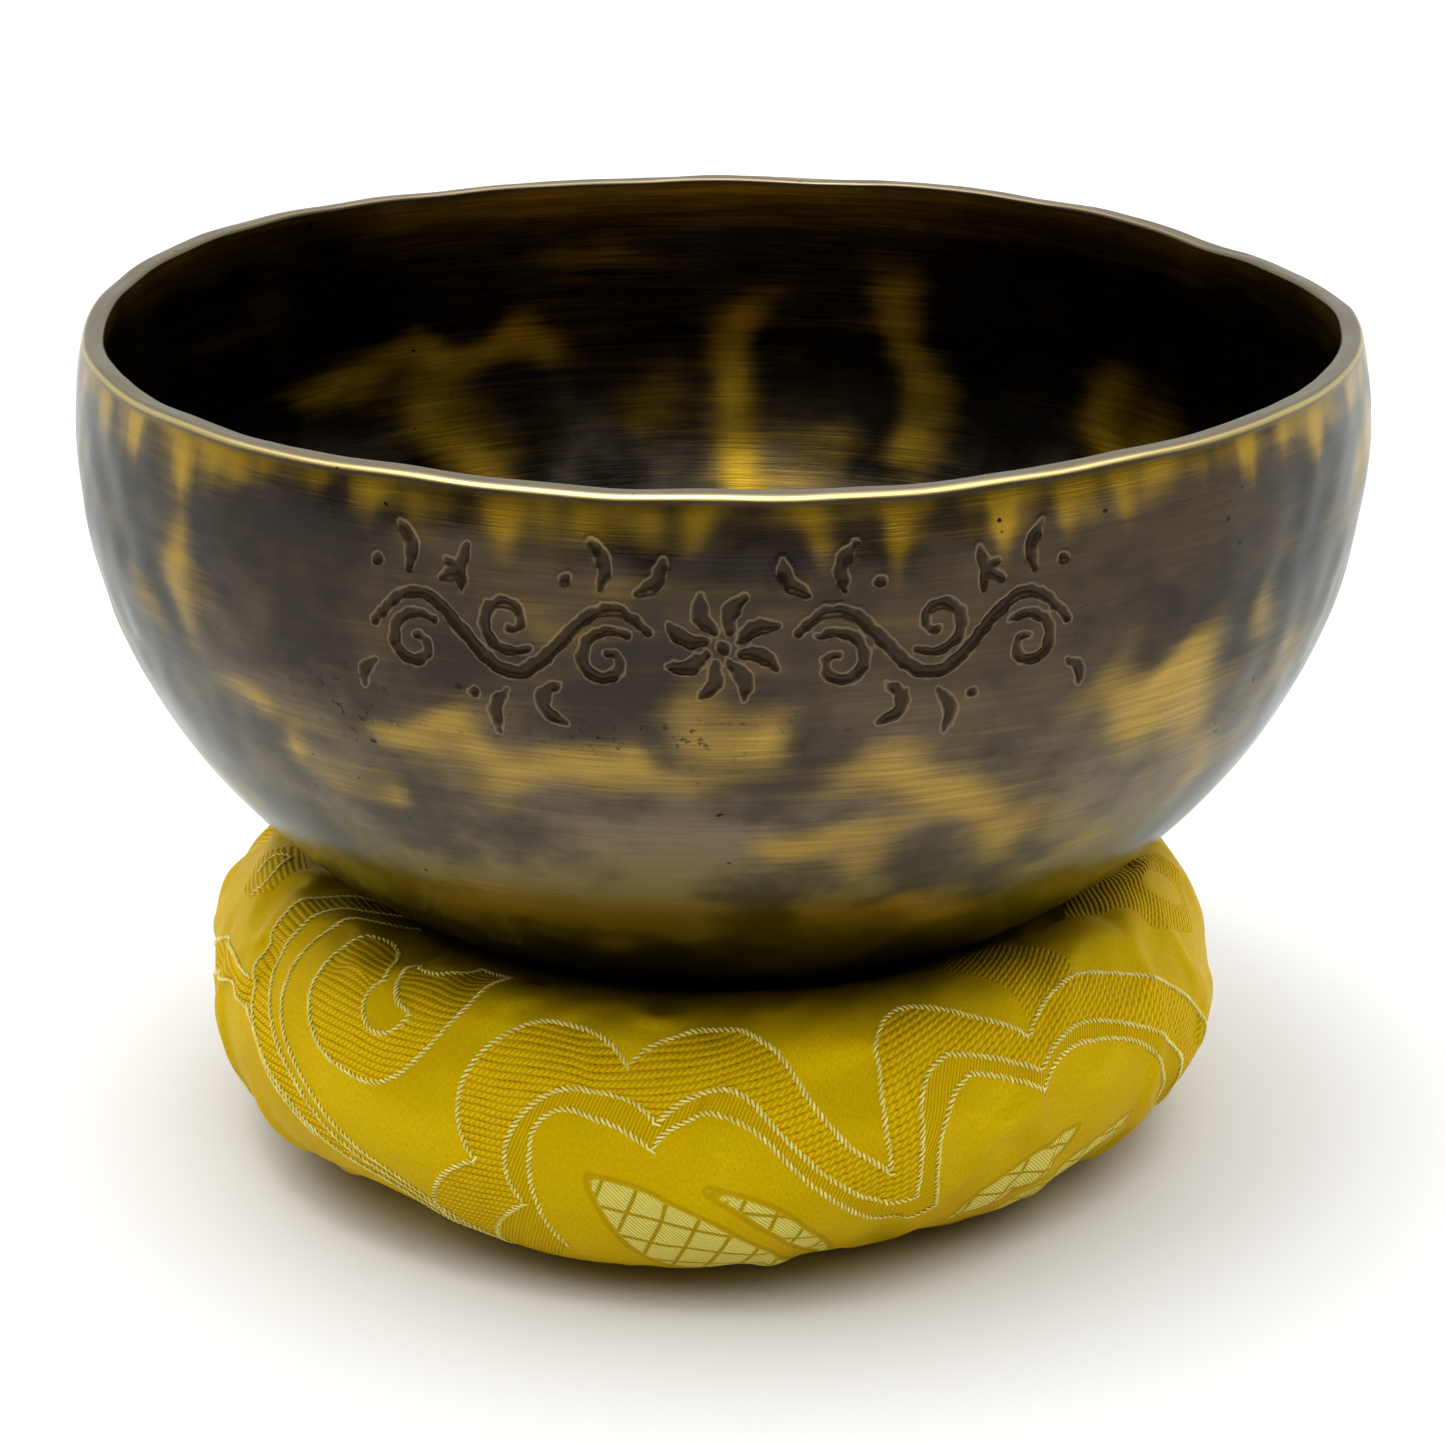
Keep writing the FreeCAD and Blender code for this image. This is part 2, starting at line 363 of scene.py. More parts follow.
def worn_bowl(turn, z, outside, below_lip):
    """How far the patina is worn: the patches, freely placed ones behind, and a ragged band at the lip."""
    worn = np.where(outside, worn_field(WORN_OUTSIDE, turn, z, 11), worn_field(WORN_INSIDE, turn, z, 13))
    rear = ease(math.radians(66), math.radians(80), np.abs(turn)) * outside
    worn += rear * (0.24 + 0.38 * ripples(turn, z * 1.25, BOWL_GIRTH, 15, 38, 30, 15)) * ease(30, 60, z)
    teeth = 3.6 + 1.3 * ripples(turn, 0, BOWL_GIRTH, 9, 26, 24, 17)
    teeth += 0.9 * ripples(turn, 0, BOWL_GIRTH, 4, 9, 24, 18)
    streaks = 0.85 + 0.30 * ripples(turn, 0.3 * z, BOWL_GIRTH, 4, 16, 40, 19)
    band = np.where(outside, streaks * ease(teeth + 5.5, teeth - 4.5, below_lip),
                    0.8 * ease(11, -3, below_lip))
    return np.maximum(worn, band)


def pitted(turn, z):
    """Where small pits may show on the front."""
    pits = np.exp(-((turn + 0.55) * BOWL_RADIUS / 7) ** 2 - ((z - 85) / 5) ** 2)
    return pits + 0.8 * np.exp(-((turn + 0.12) * BOWL_RADIUS / 22) ** 2 - ((z - 85) / 3) ** 2)


def make_bowl():
    outline, along, marks = bowl_outline()
    _, lip_start, lip_end, _ = marks
    lip_middle = (lip_start + lip_end) / 2
    half_turn = math.radians(CARVED_TURN + 0.5)
    outer_z, outer_s = outline[along < lip_start][:, 1], along[along < lip_start]
    low, high = (float(np.interp(z, outer_z, outer_s)) for z in CARVED_Z)
    places, faces = ring_mesh(bowl_rows(marks, along[-1]), float(along[-1]), (half_turn, low, high))
    x, y, s = places.T
    turn = turn_of(x, y)
    radius, z, lean = along_outline(outline, along, s)
    outside = s < lip_middle

    stroke = np.full(len(s), STROKE_REACH)
    face = outside & (np.abs(turn) < half_turn) & (s > low - 1) & (s < high + 1)
    stroke[face] = stroke_distance(carved_strokes(), turn[face] * BOWL_RADIUS, z[face])
    stroke += 0.09 * (stroke < 2.0) * ripples(turn, z, BOWL_GIRTH, 0.9, 3.0, 40, 21)

    # both faces of the wall move together, so a dent changes its sign on the inside
    level = np.where(s < lip_end, s, 2 * lip_end - s)
    dents = hammered(turn, level, z) * np.where(outside, 1, -1) + carving(stroke)
    sway, rise = bent(turn, z)
    radial = np.where(radius < 0.01, 0, radius + lean[1] * dents + sway)
    height = z - lean[0] * dents + rise
    bowl = build_mesh("singing_bowl", on_ring(radial, height, turn) * MM, faces)
    add_layer(bowl, "worn", worn_bowl(turn, z, outside, outline[:, 1].max() - z))
    add_layer(bowl, "inner", ease(lip_end - 0.35, lip_end + 0.15, s))
    add_layer(bowl, "from_lip", s - lip_middle)
    add_layer(bowl, "stroke", stroke)
    add_layer(bowl, "grain", on_ring(BOWL_RADIUS, s, turn))
    add_layer(bowl, "pitted", pitted(turn, z) * outside)
    return bowl


# ---- carved scroll on the bowl's front

CARVED_DEPTH = 0.42
STROKE_REACH = 3.0              # distances from the strokes are known this far
SCROLL_Z = 96.0


def swept(points, wide, thin=0.35):
    """A chiselled stroke along a smooth curve through the points: samples of (x, z, half width)."""
    points = np.array(points, float)
    knots = distances(points)
    slopes = np.gradient(points, knots, axis=0)
    fine = np.linspace(0, knots[-1], max(8, int(knots[-1] / 0.12)))
    k = np.clip(np.searchsorted(knots, fine, side="right") - 1, 0, len(knots) - 2)
    span = (knots[k + 1] - knots[k])[:, None]
    t = (fine - knots[k])[:, None] / span
    curve = ((2 * t ** 3 - 3 * t ** 2 + 1) * points[k] + (t ** 3 - 2 * t ** 2 + t) * span * slopes[k]
             + (-2 * t ** 3 + 3 * t ** 2) * points[k + 1] + (t ** 3 - t ** 2) * span * slopes[k + 1])
    share = fine / knots[-1]
    half = wide / 2 * (thin + (1 - thin) * np.sin(np.pi * np.clip(share, 0.03, 0.97)) ** 0.6)
    return np.column_stack([curve, half])


def curl(x, z, radius, start, sweep, wide):
    """A stroke that winds inward around (x, z), from a start angle and through a sweep, in degrees."""
    share = np.linspace(0, 1, 14)
    angle = np.radians(start + sweep * share)
    reach = radius * (1 - 0.78 * share ** 0.85)
    return swept(np.column_stack([x + reach * np.cos(angle), z + reach * np.sin(angle)]), wide)


def leaf(x, z, angle, length, wide):
    """A short stroke with a pointed end."""
    a = math.radians(angle)
    bow = 0.18 * length
    ahead, up = math.cos(a), math.sin(a)
    middle = (x + length / 2 * ahead - bow * up, z + length / 2 * up + bow * ahead)
    return swept([(x, z), middle, (x + length * ahead, z + length * up)], wide, 0.15)


def dot(x, z, radius):
    return np.array([[x, z, radius]])


def carved_strokes():
    """A running scroll, mirrored about a rosette."""
    strokes = [leaf(2.0 * math.cos(a), SCROLL_Z + 2.0 * math.sin(a), math.degrees(a), 4.6, 1.7)
               for a in np.radians(np.arange(8) * 45 + 22.5)]
    strokes.append(dot(0, SCROLL_Z, 0.75))
    half = []
    stem = [(x, SCROLL_Z + 4.2 * math.sin(math.pi * (x - 7) / 11.5)) for x in np.arange(8.5, 41.6, 1.5)]
    half.append(swept(stem, 1.45, 0.5))
    for k in range(3):
        up = 1 if k % 2 == 0 else -1
        x = 13.2 + 11.5 * k
        half.append(curl(x, SCROLL_Z - 2.0 * up, 4.0, 128 * up, -400 * up, 1.25))
        half.append(leaf(x - 3.4, SCROLL_Z + 6.2 * up, 128 * up, 5.0, 1.5))
        half.append(leaf(x + 0.6, SCROLL_Z + 6.6 * up, 78 * up, 5.4, 1.5))
        half.append(dot(x + 4.6, SCROLL_Z + 7.4 * up, 0.62))
        half.append(leaf(x + 5.6, SCROLL_Z - 5.0 * up, -62 * up, 3.8, 1.3))
    for samples in half:
        strokes.append(samples)
        strokes.append(samples * (-1, 1, 1))
    return strokes


def stroke_distance(strokes, x, z):
    """Distance from the edge of the nearest stroke, negative inside it."""
    nearest = np.full(len(x), STROKE_REACH)
    for samples in strokes:
        low, high = samples[:, :2].min(0) - STROKE_REACH, samples[:, :2].max(0) + STROKE_REACH
        near = np.where((x > low[0]) & (x < high[0]) & (z > low[1]) & (z < high[1]))[0]
        for some in np.array_split(near, max(1, len(near) * len(samples) // 2000000)):
            away = np.hypot(x[some, None] - samples[None, :, 0], z[some, None] - samples[None, :, 1])
            nearest[some] = np.minimum(nearest[some], (away - samples[None, :, 2]).min(1))
    return nearest


# ---- material nodes


class Shader:
    """Nodes of a material or world, built by calls. A value is a number, a tuple or a node's output."""

    def __init__(self, owner):
        self.owner = owner
        owner.use_nodes = True
        self.tree = owner.node_tree
        self.last = self.tree.nodes.get("Principled BSDF") or self.tree.nodes["Background"]

    def put(self, socket, value):
        if isinstance(value, bpy.types.NodeSocket):
            self.tree.links.new(value, socket)
        elif isinstance(value, tuple) and len(value) == 3 and socket.type == "RGBA":
            socket.default_value = (*value, 1)
        else:
            socket.default_value = value

    def add(self, kind, values, output=0, **settings):
        node = self.tree.nodes.new(kind)
        for key, value in settings.items():
            setattr(node, key, value)
        for key, value in values.items():
            self.put(node.inputs[key], value)
        return node.outputs[output]

    def finish(self, **values):
        for key, value in values.items():
            self.put(self.last.inputs[key.replace("_", " ")], value)
        return self.owner

    def number(self, name):
        return self.add("ShaderNodeAttribute", {}, "Fac", attribute_name=name)

    def vector(self, name):
        return self.add("ShaderNodeAttribute", {}, "Vector", attribute_name=name)

    def math(self, kind, a, b=0.0):
        return self.add("ShaderNodeMath", {0: a, 1: b}, operation=kind)

    def plus(self, a, b):
        return self.math("ADD", a, b)

    def minus(self, a, b):
        return self.math("SUBTRACT", a, b)

    def times(self, a, b):
        return self.math("MULTIPLY", a, b)

    def larger(self, a, b):
        return self.math("MAXIMUM", a, b)

    def wave(self, value, pitch):
        return self.math("SINE", self.times(value, TAU / pitch))

    def split(self, vector):
        node = self.tree.nodes.new("ShaderNodeSeparateXYZ")
        self.put(node.inputs[0], vector)
        return node.outputs

    def scaled(self, vector, by):
        return self.add("ShaderNodeVectorMath", {0: vector, 1: by}, operation="MULTIPLY")

    def noise(self, place, by, detail, roughness):
        values = {"Vector": self.scaled(place, by), "Scale": 1.0, "Detail": detail, "Roughness": roughness}
        return self.add("ShaderNodeTexNoise", values)

    def ramp(self, value, low, high, goal_low=0.0, goal_high=1.0):
        values = {"Value": value, 1: low, 2: high, 3: goal_low, 4: goal_high}
        return self.add("ShaderNodeMapRange", values, interpolation_type="SMOOTHSTEP")

    def mix(self, share, a, b):
        return self.add("ShaderNodeMix", {0: share, 6: a, 7: b}, 2, data_type="RGBA")

    def bump(self, height, distance, strength, normal=None):
        values = {"Height": height, "Distance": distance, "Strength": strength}
        if normal is not None:
            values["Normal"] = normal
        return self.add("ShaderNodeBump", values)


def bronze():
    """Hammered bronze: a brown patina, brushed around the bowl, and worn through to bright metal."""
    m = Shader(bpy.data.materials.new("hammered_bronze"))
    grain = m.vector("grain")
    inner = m.number("inner")
    _, _, far_along = m.split(grain)
    brushed = m.noise(grain, (0.07, 0.07, 2.6), 3, 0.6)
    fine = m.noise(grain, (0.35, 0.35, 5.5), 2, 0.6)
    cloud = m.noise(grain, (0.07, 0.07, 0.1), 2, 0.5)
    wisps = m.noise(grain, (0.035, 0.035, 0.4), 4, 0.6)
    tint = m.noise(grain, (0.035, 0.035, 0.05), 4, 0.6)
    worn = m.number("worn")
    for noise, strength in ((brushed, 0.18), (cloud, 0.4), (wisps, 0.75)):
        worn = m.plus(worn, m.times(m.minus(noise, 0.5), strength))
    bright = m.ramp(worn, 0, m.ramp(inner, 0, 1, 1.15, 1.4))
    # outside: the patina is painted paler towards the foot (painted reflection of the floor) and then olive
    # (painted reflection of the yellow cushion), and the metal is warmer at the lip
    low = m.ramp(far_along, 122, 72)
    dark = m.mix(low, (0.024, 0.018, 0.013), (0.092, 0.072, 0.047))
    pale = m.mix(low, (0.064, 0.044, 0.025), (0.26, 0.2, 0.12))
    patina = m.mix(m.ramp(tint, 0.38, 0.62), dark, pale)
    patina = m.mix(m.ramp(brushed, 0.25, 0.75), m.mix(0.25, patina, (0.016, 0.011, 0.006)), patina)
    # painted reflection of the yellow cushion near the foot
    painted_cushion_reflection = m.mix(m.ramp(tint, 0.42, 0.58), (0.045, 0.034, 0.003), (0.16, 0.118, 0.009))
    patina = m.mix(m.ramp(far_along, 97, 76, 0, 0.92), patina, painted_cushion_reflection)
    gold = m.mix(m.ramp(brushed, 0.3, 0.7), (0.26, 0.165, 0.028), (0.37, 0.24, 0.045))
    gold = m.mix(m.ramp(far_along, 108, 124), gold, (0.39, 0.235, 0.014))
    outer_colour = m.mix(bright, patina, gold)
    # inside: nearly black, with grey clouds on the lower wall and a brown bottom
    inner_gold = m.mix(m.ramp(brushed, 0.3, 0.7), (0.6, 0.35, 0.02), (0.9, 0.55, 0.035))
    lower_wall = m.times(m.ramp(far_along, 165, 195), m.ramp(far_along, 208, 192))
    clouded = m.times(lower_wall, m.ramp(tint, 0.3, 0.72))
    bottom = m.times(m.ramp(far_along, 188, 215), m.ramp(tint, 0.3, 0.7, 0.4, 1))
    inner_patina = m.mix(m.ramp(brushed, 0.4, 0.75), (0.004, 0.003, 0.002), (0.024, 0.016, 0.007))
    inner_patina = m.mix(clouded, inner_patina, (0.135, 0.108, 0.076))
    inner_patina = m.mix(bottom, inner_patina, (0.07, 0.046, 0.02))
    colour = m.mix(inner, outer_colour, m.mix(bright, inner_patina, inner_gold))
    # the lip's rubbed flat, with a painted highlight line on its outer corner
    from_lip = m.number("from_lip")
    lip = m.ramp(m.math("ABSOLUTE", from_lip), 2.6, 1.7)
    corner = m.ramp(m.math("ABSOLUTE", m.plus(from_lip, 1.35)), 0.5, 0.1)
    colour = m.mix(lip, colour, (0.19, 0.145, 0.08))
    colour = m.mix(corner, colour, (0.58, 0.46, 0.18))
    # carved strokes: dark inside, with a thin painted highlight along the edge
    stroke = m.number("stroke")
    edge = m.ramp(m.math("ABSOLUTE", m.minus(stroke, 0.2)), 0.2, 0, 0, 0.28)
    colour = m.mix(edge, colour, (0.3, 0.23, 0.12))
    colour = m.mix(m.ramp(stroke, 0.12, -0.3, 0, 0.85), colour, (0.035, 0.022, 0.01))
    # pits: dense in the pitted places, rare elsewhere
    speck = m.noise(grain, (0.9, 0.9, 1), 2, 0.6)
    pit = m.times(m.number("pitted"), m.ramp(speck, 0.6, 0.68))
    rare = m.noise(grain, (0.45, 0.45, 0.5), 1, 0.5)
    colour = m.mix(m.larger(pit, m.ramp(rare, 0.765, 0.8)), colour, (0.012, 0.01, 0.009))
    height = m.minus(m.plus(m.times(fine, 0.5), brushed), m.times(pit, 2))
    rough = m.plus(m.ramp(far_along, 62, 105, 0.13, 0.26), m.ramp(cloud, 0.3, 0.7, 0, 0.08))
    rough = m.plus(rough, m.ramp(stroke, 0.1, -0.2, 0, 0.25))
    glaze = m.times(m.ramp(inner, 0, 1, 0.14, 0.1), m.ramp(far_along, 76, 100))
    normal = m.bump(height, 0.00003, 0.6)
    return m.finish(Base_Color=colour, Metallic=0.97, Specular_Tint=(0.76, 0.81, 0.81), Roughness=rough,
                    Coat_Weight=glaze, Coat_Roughness=0.12, Coat_IOR=1.55, Normal=normal)


# ---- cushion

SEAT_CLEARANCE = 0.35
SEAT_HEADINGS = (14.0, 33.0)
HOLE_RADIUS = 21.0
CREST_ROUND = 6.2
GIRTH = (70.3, 21.0)            # radius, height
CREST_TURN = 48.0
FLOOR_RADII = (46.0, 34.0)
FLOOR_TURN = 46.0
HEM_HEADING = -225.0            # the long edges meet at the hole's lower corner
HEM_STITCHES = 28
END_SEAM_TURN = -135.0          # behind, to the left
END_SEAM_RADIUS = 68.0
HEM_STITCH_LENGTH = 3.4
END_STITCHES = 9
END_STITCH_START = 11.3         # distance from the crest
END_STITCH_PITCH = 5.0
END_STITCH_LENGTH = 3.2
SEWING_WIDTH = 0.6
CUSHION_COLUMNS = 432
CUSHION_GIRTH = 430.0
CUSHION_SHIFT = -1.8            # the padding sags a little to the left
PATTERN_REACH = 1.2             # the brocade's pattern is measured in mm along the girth: 1.2 to a degree
PATTERN_GIRTH = 360 * PATTERN_REACH
PATTERN_REPEAT = PATTERN_GIRTH / 2
CORD = {"pitch": 0.78, "length": 1.28, "wide": 0.35, "slant": 36, "lift": 0.15}     # slant in degrees
CRUMPLE_LIMIT = 0.6
UP = np.array([0, 0, 1.0])


def quarter_arcs(start, heading, goal, first_turn):
    """Two tangent arcs that turn 90 degrees to the right and end at the goal."""
    angle = math.radians(heading)
    run = (goal[0] - start[0], goal[1] - start[1])
    ahead = run[0] * math.cos(angle) + run[1] * math.sin(angle)
    aside = run[0] * math.sin(angle) - run[1] * math.cos(angle)
    s, c = math.sin(math.radians(first_turn)), math.cos(math.radians(first_turn))
    share = s * c - (1 - s) * (1 - c)
    return [((ahead * c - aside * (1 - s)) / share, heading - first_turn),
            ((aside * s - ahead * (1 - c)) / share, heading - 90)]


def cushion_outline():
    """The closed section from the crest over the girth, floor, hole and seat, and back to the crest.

    Gives points (radius, height), distances along them, and the distance of the hem.
    """
    fine = 0.1
    tilt = math.radians(SEAT_HEADINGS[0])
    first_radius, first_heading = BOWL_ARCS[0]
    reach = first_radius + SEAT_CLEARANCE
    start = (BOWL_FLAT_RADIUS + reach * math.sin(tilt), BOWL_BOTTOM_Z + first_radius - reach * math.cos(tilt))
    seat_arcs = [(reach, first_heading), (BOWL_ARCS[1][0] + SEAT_CLEARANCE, SEAT_HEADINGS[1]),
                 (CREST_ROUND, 0.0)]
    seat = tangent_arcs(start, SEAT_HEADINGS[0], seat_arcs, fine)
    side = tangent_arcs(seat[-1], 0, quarter_arcs(seat[-1], 0, GIRTH, CREST_TURN), fine)
    under = quarter_arcs(side[-1], -90, (FLOOR_RADII[0], 0), FLOOR_TURN)
    side += tangent_arcs(side[-1], -90, under, fine)[1:]
    side += [(r, 0) for r in np.linspace(FLOOR_RADII[0], FLOOR_RADII[1], 120)[1:]]
    side += tangent_arcs(side[-1], -180, [(FLOOR_RADII[1] - HOLE_RADIUS, HEM_HEADING)], fine)[1:]
    hem_index = len(side) - 1
    side += tangent_arcs(side[-1], HEM_HEADING, [(FLOOR_RADII[1] - HOLE_RADIUS, -270)], fine)[1:]
    shoulder = (start[0] - HOLE_RADIUS) / (1 - math.sin(tilt))
    top = start[1] - shoulder * math.cos(tilt)
    side += [(HOLE_RADIUS, z) for z in np.linspace(side[-1][1], top, 20)[1:]]
    side += tangent_arcs(side[-1], -270, [(shoulder, SEAT_HEADINGS[0] - 360)], fine)[1:]
    loop = np.array(side + seat[1:])
    along = distances(loop)
    return loop, along, along[hem_index]


def cushion_rows(around):
    """Distances from the crest at which the mesh has a ring: fine where the cover shows."""
    shown, start = 60.0, -14.0
    return np.concatenate([np.arange(start, shown, 1.0), np.linspace(shown, around + start, 46)[:-1]])


def local_axes(turn):
    """Directions away from the axis and around it."""
    out = np.stack([np.sin(turn), -np.cos(turn), 0 * turn], axis=-1)
    across = np.stack([np.cos(turn), np.sin(turn), 0 * turn], axis=-1)
    return out, across


SIM_COLUMNS = 144
SIM_ROWS = 56
SIM_SCALE = 4.0
SIM_FRAMES = 22
SIM_SETTINGS = {
    "quality": 6, "mass": 0.3, "tension_stiffness": 15, "compression_stiffness": 15, "shear_stiffness": 5,
    "bending_stiffness": 0.08, "vertex_group_mass": "held", "pin_stiffness": 1.0, "use_pressure": True,
    "uniform_pressure_force": 4, "shrink_min": -0.02}


def simulate_cover(loop, along):
    """How unevenly a cover crumples when pressure draws it inward while its seat and floor are held.

    Gives its movement past the average of its row, in mm: rows x columns x (outward, across, up).
    """
    rows = np.arange(SIM_ROWS) * along[-1] / SIM_ROWS
    turns = np.arange(SIM_COLUMNS) * TAU / SIM_COLUMNS
    v, turn = np.meshgrid(rows, turns, indexing="ij")
    radius, z, _ = along_outline(loop, along, v)
    start = on_ring(radius, z, turn)
    out, across = local_axes(turn)
    start += 0.35 * out * ripples(turn, v, CUSHION_GIRTH, 9, 30, 40, 31)[..., None]
    from_crest = np.where(v > along[-1] / 2, v - along[-1], v)
    seat = ease(-1.0, -7.0, from_crest) * (z > 20)
    floor = ease(2.5, 0.3, z)
    hold = np.clip(seat + floor, 0, 1)
    piece = build_mesh("cover_simulation", start.reshape(-1, 3) * MM * SIM_SCALE,
                       ring_faces(SIM_ROWS, SIM_COLUMNS, closed=True))
    group = piece.vertex_groups.new(name="held")
    for k, weight in enumerate(hold.ravel()):
        group.add([k], float(weight), "REPLACE")
    cloth = piece.modifiers.new("cloth", "CLOTH")
    for name, value in SIM_SETTINGS.items():
        setattr(cloth.settings, name, value)
    cloth.settings.effector_weights.gravity = 0
    cloth.collision_settings.use_collision = False
    cloth.point_cache.frame_end = SIM_FRAMES
    scene = bpy.context.scene
    for number in range(1, SIM_FRAMES + 1):
        scene.frame_set(number)
    moved = piece.evaluated_get(bpy.context.evaluated_depsgraph_get()).to_mesh()
    place = np.zeros(len(moved.vertices) * 3)
    moved.vertices.foreach_get("co", place)
    bpy.data.objects.remove(piece)
    scene.frame_set(1)
    shift = place.reshape(start.shape) / (MM * SIM_SCALE) - on_ring(radius, z, turn)
    parts = np.stack([(shift * out).sum(-1), (shift * across).sum(-1), shift[..., 2]], axis=-1)
    return parts - parts.mean(axis=1, keepdims=True)


def weave_in(values, at, count):
    """Smooth (Catmull-Rom) weights that sample a closed row of values at fractional places."""
    base = np.floor(at).astype(int)
    t = at - base
    weights = [(-t + 2 * t ** 2 - t ** 3) / 2, (2 - 5 * t ** 2 + 3 * t ** 3) / 2,
               (t + 4 * t ** 2 - 3 * t ** 3) / 2, (-t ** 2 + t ** 3) / 2]
    shape = (-1,) + (1,) * (values.ndim - 1)
    return sum(w.reshape(shape) * values[(base + k - 1) % count] for k, w in enumerate(weights))


# Swellings and hollows of the padding: turn in degrees, distance from the crest, height, half width in
# degrees, half width along.
SWELLS = [(-14, 48, 1.4, 22, 12), (38, 46, -1.3, 16, 12), (-100, 10, -3.2, 28, 9),
          (102, 8, -2.3, 26, 9), (-46, 50, -1.3, 12, 9)]
# Small tucks where the cover meets the floor: turn in degrees, distance from the crest, depth, half width.
TUCKS = [(12, 52, 1, 2.5), (52, 49, 1.8, 3), (-44, 54, 1.2, 3), (95, 51, 1.4, 3), (148, 50, 1.6, 2.5),
         (-100, 52, 1.5, 3), (-160, 49, 1.5, 3), (27, 56, 0.9, 2), (70, 54, 1, 2.5),
         (-75, 53, 1.2, 2.5)]
TUCK_RADIUS = 60.0
TUCK_REACH = 7.0


def cover_crumple(loop, along, rows, turns):
    """The simulated crumple at every point of the cover, in mm."""
    around = along[-1]
    crumple = simulate_cover(loop, along)
    crumple = weave_in(crumple, (rows % around) / around * SIM_ROWS, SIM_ROWS)
    crumple = weave_in(crumple.transpose(1, 0, 2), (turns % TAU) / TAU * SIM_COLUMNS, SIM_COLUMNS)
    crumple = crumple.transpose(1, 0, 2)
    size = np.linalg.norm(crumple, axis=-1, keepdims=True)
    return crumple * (CRUMPLE_LIMIT * np.tanh(size / CRUMPLE_LIMIT) / np.maximum(size, 1e-6))


def padding(turn, v):
    """Soft hollows and swellings, in mm."""
    lumps = 0.5 * ripples(turn, v, CUSHION_GIRTH, 40, 110, 16, 35)
    lumps += 0.16 * ripples(turn, v, CUSHION_GIRTH, 14, 34, 30, 36)
    for degrees, far, swell, wide, tall in SWELLS:
        lumps += swell * np.exp(-(apart(turn, degrees) / math.radians(wide)) ** 2 - ((v - far) / tall) ** 2)
    return lumps


def hem_gathers(turn, v, hem):
    """Pleats that run out from the stitched hem, and the groove that the stitches pull."""
    pleats = np.cos(turn * 2 * HEM_STITCHES) * (1 + 0.5 * np.cos(turn * 5 + 1)) * 0.28
    return np.exp(-np.abs(v - hem) / 7.0) * pleats - 0.7 * np.exp(-((v - hem) / 0.8) ** 2)


def end_seam_pull(turn, v):
    """The groove of the end seam, with small puckers beside it."""
    beside = np.abs(apart(turn, END_SEAM_TURN)) * END_SEAM_RADIUS
    dip = -0.9 * np.exp(-(beside / 1.0) ** 2) - 0.5 * np.exp(-(beside / 5.0) ** 2)
    dip += 0.3 * np.cos(v * TAU / 5.2) * np.exp(-beside / 5.0)
    return dip * ease(3, 9, v) * ease(60, 54, v)


def tucks(turn, v):
    depths = np.zeros(v.shape)
    for degrees, far, depth, wide in TUCKS:
        beside = apart(turn, degrees) * TUCK_RADIUS
        depths -= depth * np.exp(-(beside / wide) ** 2 - ((v - far) / TUCK_REACH) ** 2)
    return depths


def painted_seat_shade(turn, from_crest):
    """Painted shade of the bowl's overhang on the seat: most near the crest, less on the right."""
    painted_amount = 0.75 * ease(13, -3, from_crest) * ease(-26, -6, from_crest)
    return painted_amount * (1 - 0.6 * ease(0.4, 0.9, np.sin(turn)))


def make_cushion():
    loop, along, hem = cushion_outline()
    around = along[-1]
    rows = cushion_rows(around)
    turns = math.radians(END_SEAM_TURN) + np.arange(CUSHION_COLUMNS) * TAU / CUSHION_COLUMNS
    v, turn = np.meshgrid(rows, turns, indexing="ij")
    radius, z, lean = along_outline(loop, along, v % around)
    out, across = local_axes(turn)
    face = out * (-lean[1])[..., None] + UP * lean[0][..., None]

    free = ease(-9, -1, v) * ease(0.2, 3.0, z)
    free = np.where(v > hem - 8, 0.35, free)
    crumple = cover_crumple(loop, along, rows, turns)
    move = out * crumple[..., 0:1] + across * crumple[..., 1:2] + UP * crumple[..., 2:3]
    place = on_ring(radius, z, turn) + move * free[..., None]

    girth_share = ease(-4, 20, v) * ease(63, 42, v)
    place[..., 0] += CUSHION_SHIFT * girth_share
    # the cover falls away from the bowl, and leaves a narrow gap all round
    place[..., 2] -= 1.8 * np.exp(-((v + 0.5) / 5.5) ** 2) * (1 + 0.25 * np.cos(3 * turn + 1))
    for swell in (padding(turn, v) * girth_share, hem_gathers(turn, v, hem), end_seam_pull(turn, v),
                  tucks(turn, v)):
        place += face * swell[..., None]
    place[..., 2] = np.maximum(place[..., 2], 0.0)

    outward = [quad[::-1] for quad in ring_faces(len(rows), CUSHION_COLUMNS, closed=True)]
    cushion = build_mesh("ring_cushion", place.reshape(-1, 3) * MM, outward)
    u = np.degrees(turn) * PATTERN_REACH
    rib = v + rib_climb((u + PATTERN_REPEAT / 2) % PATTERN_REPEAT - PATTERN_REPEAT / 2)
    add_layer(cushion, "cloth", np.stack([u, v, rib], axis=-1).reshape(-1, 3))
    # painted shade of the bowl on the seat, kept as a layer for the brocade
    add_layer(cushion, "painted_seat_shade", painted_seat_shade(turn, np.where(v > around / 2, v - around, v)).ravel())
    for name, field in zip(("ribbed", "striped", "leafy"), brocade_fields(u, v)):
        add_layer(cushion, name, field.ravel())
    return cushion, Cloth(place, turns, rows, around), hem


def unit(vectors):
    return vectors / np.linalg.norm(vectors, axis=1, keepdims=True)


